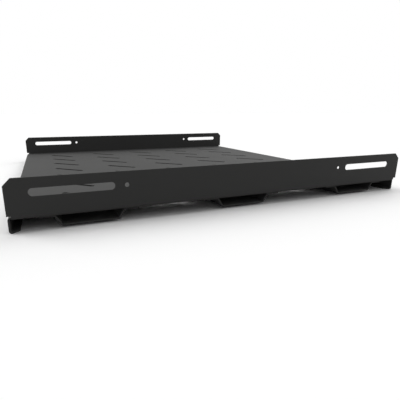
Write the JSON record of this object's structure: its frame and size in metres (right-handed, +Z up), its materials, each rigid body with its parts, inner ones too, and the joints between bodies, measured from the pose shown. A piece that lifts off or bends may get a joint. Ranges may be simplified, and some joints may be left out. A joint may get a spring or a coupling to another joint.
{
  "type": "fixed rack shelf",
  "caption": "Black sheet-metal shelf for a 19-inch rack, about one unit high, with a slotted deck, slotted side flanges for all four posts and stiffening channels beneath.",
  "frame": {"origin": "under the middle of the shelf, on the plane that the front and rear lips rest on", "axes": "+X across the rack towards the right flange, +Y from front to rear, +Z up"},
  "size_m": [0.465, 0.44, 0.046],
  "materials": {
    "powder_coat": "satin black powder coat with a fine texture"
  },
  "bodies": {
    "root": {"shelf_tray": "powder_coat", "front_stiffener_channel": "powder_coat", "middle_stiffener_channel": "powder_coat", "rear_stiffener_channel": "powder_coat"}
  },
  "joints": []
}
